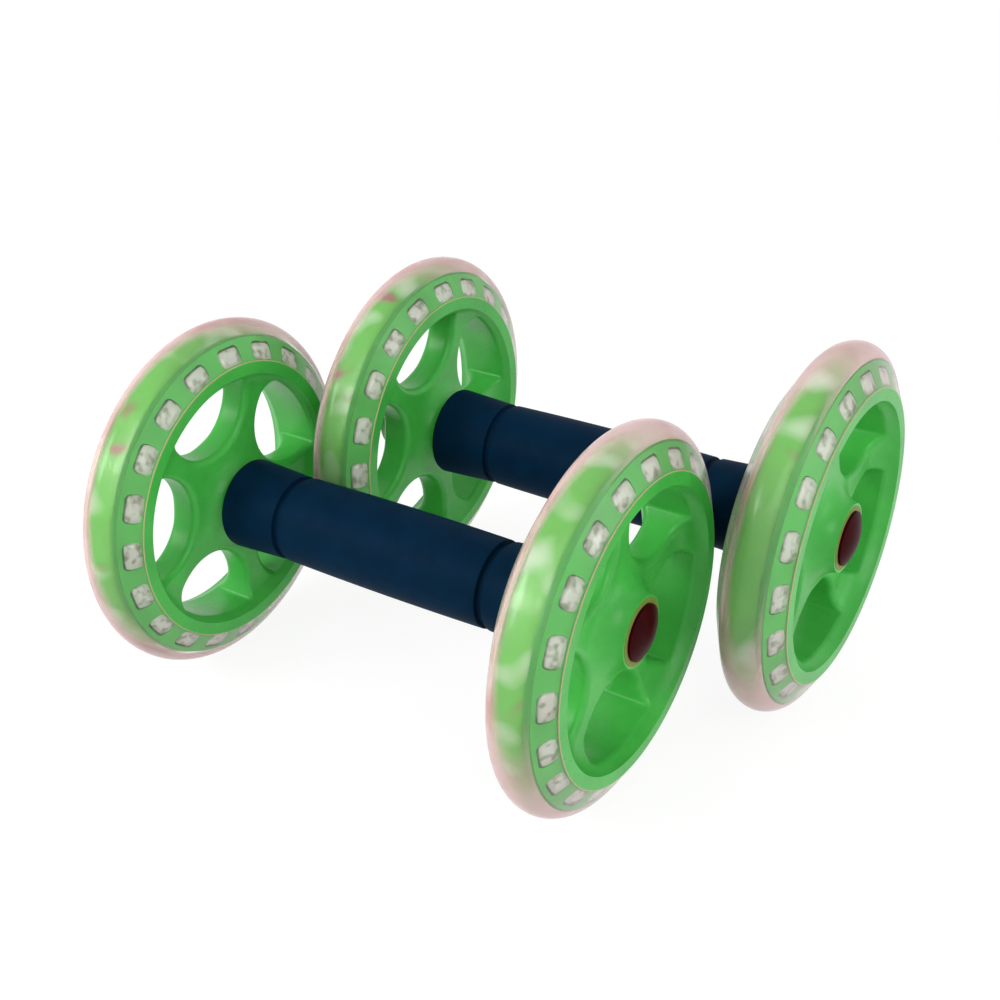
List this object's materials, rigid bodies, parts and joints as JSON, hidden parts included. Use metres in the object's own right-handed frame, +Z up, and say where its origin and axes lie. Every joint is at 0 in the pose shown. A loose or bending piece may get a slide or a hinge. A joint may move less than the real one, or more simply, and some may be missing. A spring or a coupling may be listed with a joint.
{
  "type": "ab wheel roller",
  "caption": "Floor exercise rollers, each with a grooved grip between free-spinning spoked wheels whose clear tyres are locked to windowed cores; parked as a pair.",
  "frame": {"origin": "on the floor, at the centre of the pair's bounding box", "axes": "+X along both axles to the right, +Y the way the rollers roll, away from the viewer, +Z up"},
  "size_m": [0.2616, 0.2458, 0.15],
  "materials": {
    "clear_tyre": "clear cast urethane, faintly pink, glossy",
    "core_plastic": "moulded, satin gloss",
    "cap_plastic": "moulded, satin gloss",
    "grip_rubber": "soft, fine grain",
    "tube_plastic": "extruded",
    "plug_plastic": "moulded",
    "bush_plastic": "moulded",
    "steel": "turned, zinc plated"
  },
  "bodies": {
    "front_handle": {"front_axle": "steel", "front_handle_tube": "tube_plastic", "front_grip": "grip_rubber", "front_left_end_plug": "plug_plastic", "front_right_end_plug": "plug_plastic", "front_inner_washers": "steel", "front_outer_washers": "steel", "front_lock_nuts": "steel"},
    "front_left_wheel": {"front_left_wheel_core": "core_plastic", "front_left_tyre": "clear_tyre", "front_left_inner_bush": "bush_plastic", "front_left_outer_bush": "bush_plastic", "front_left_hub_cap": "cap_plastic"},
    "front_right_wheel": {"front_right_wheel_core": "core_plastic", "front_right_tyre": "clear_tyre", "front_right_inner_bush": "bush_plastic", "front_right_outer_bush": "bush_plastic", "front_right_hub_cap": "cap_plastic"},
    "rear_handle": {"rear_axle": "steel", "rear_handle_tube": "tube_plastic", "rear_grip": "grip_rubber", "rear_left_end_plug": "plug_plastic", "rear_right_end_plug": "plug_plastic", "rear_inner_washers": "steel", "rear_outer_washers": "steel", "rear_lock_nuts": "steel"},
    "rear_left_wheel": {"rear_left_wheel_core": "core_plastic", "rear_left_tyre": "clear_tyre", "rear_left_inner_bush": "bush_plastic", "rear_left_outer_bush": "bush_plastic", "rear_left_hub_cap": "cap_plastic"},
    "rear_right_wheel": {"rear_right_wheel_core": "core_plastic", "rear_right_tyre": "clear_tyre", "rear_right_inner_bush": "bush_plastic", "rear_right_outer_bush": "bush_plastic", "rear_right_hub_cap": "cap_plastic"}
  },
  "joints": [
    {"name": "front_left_wheel_spin", "type": "hinge", "parent": "front_handle", "child": "front_left_wheel", "pos_m": [-0.1135, -0.04795, 0.075], "axis": [1, 0, 0], "continuous": true},
    {"name": "front_right_wheel_spin", "type": "hinge", "parent": "front_handle", "child": "front_right_wheel", "pos_m": [0.0735, -0.04795, 0.075], "axis": [1, 0, 0], "continuous": true},
    {"name": "rear_left_wheel_spin", "type": "hinge", "parent": "rear_handle", "child": "rear_left_wheel", "pos_m": [-0.0735, 0.04795, 0.075], "axis": [1, 0, 0], "continuous": true},
    {"name": "rear_right_wheel_spin", "type": "hinge", "parent": "rear_handle", "child": "rear_right_wheel", "pos_m": [0.1135, 0.04795, 0.075], "axis": [1, 0, 0], "continuous": true},
    {"name": "rear_roller_roll_away", "type": "slide", "parent": "front_handle", "child": "rear_handle", "axis": [0, 1, 0], "range_m": [0, 0.15]}
  ]
}
